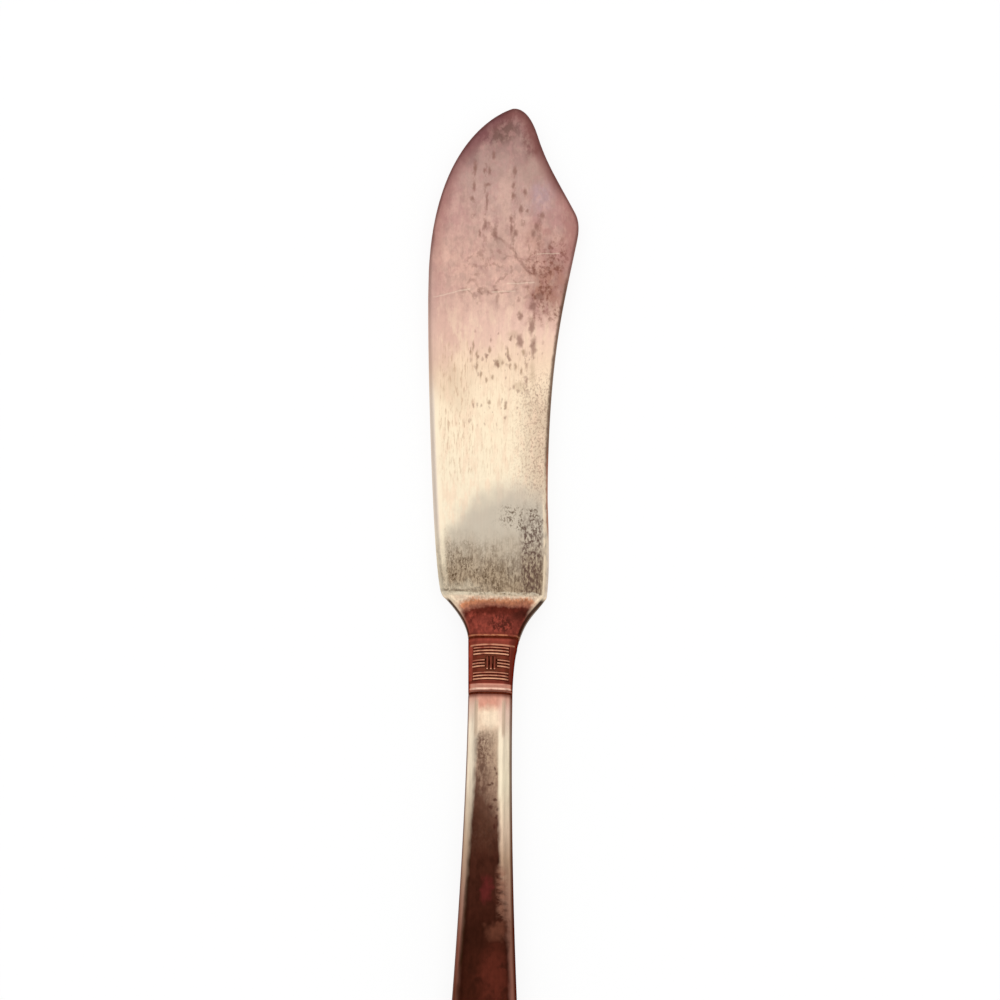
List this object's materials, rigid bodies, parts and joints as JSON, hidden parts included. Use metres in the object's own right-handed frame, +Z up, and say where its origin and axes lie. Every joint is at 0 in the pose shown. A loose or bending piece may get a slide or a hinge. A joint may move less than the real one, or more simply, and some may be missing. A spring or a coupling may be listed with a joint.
{
  "type": "butter knife",
  "caption": "Butter knife with a broad clipped blade, a flared shoulder, a reeded collar and a slim hollow handle, in worn and tarnished silver plate.",
  "frame": {"origin": "on the flat of the handle's back, half way along the handle", "axes": "+Y along the knife towards the tip, +X towards the blade's spine, +Z up out of the ornamented face"},
  "size_m": [0.0227, 0.1779, 0.0057],
  "materials": {
    "blade_plate": "satin",
    "collar_plate": "satin",
    "handle_plate": "satin",
    "solder": "matte",
    "cement": "matte"
  },
  "bodies": {
    "root": {"blade": "blade_plate", "collar": "collar_plate", "handle_front_shell": "handle_plate", "handle_back_shell": "handle_plate", "handle_filler": "cement", "shoulder_solder": "solder", "mouth_solder": "solder", "seam_solder": "solder"}
  },
  "joints": []
}
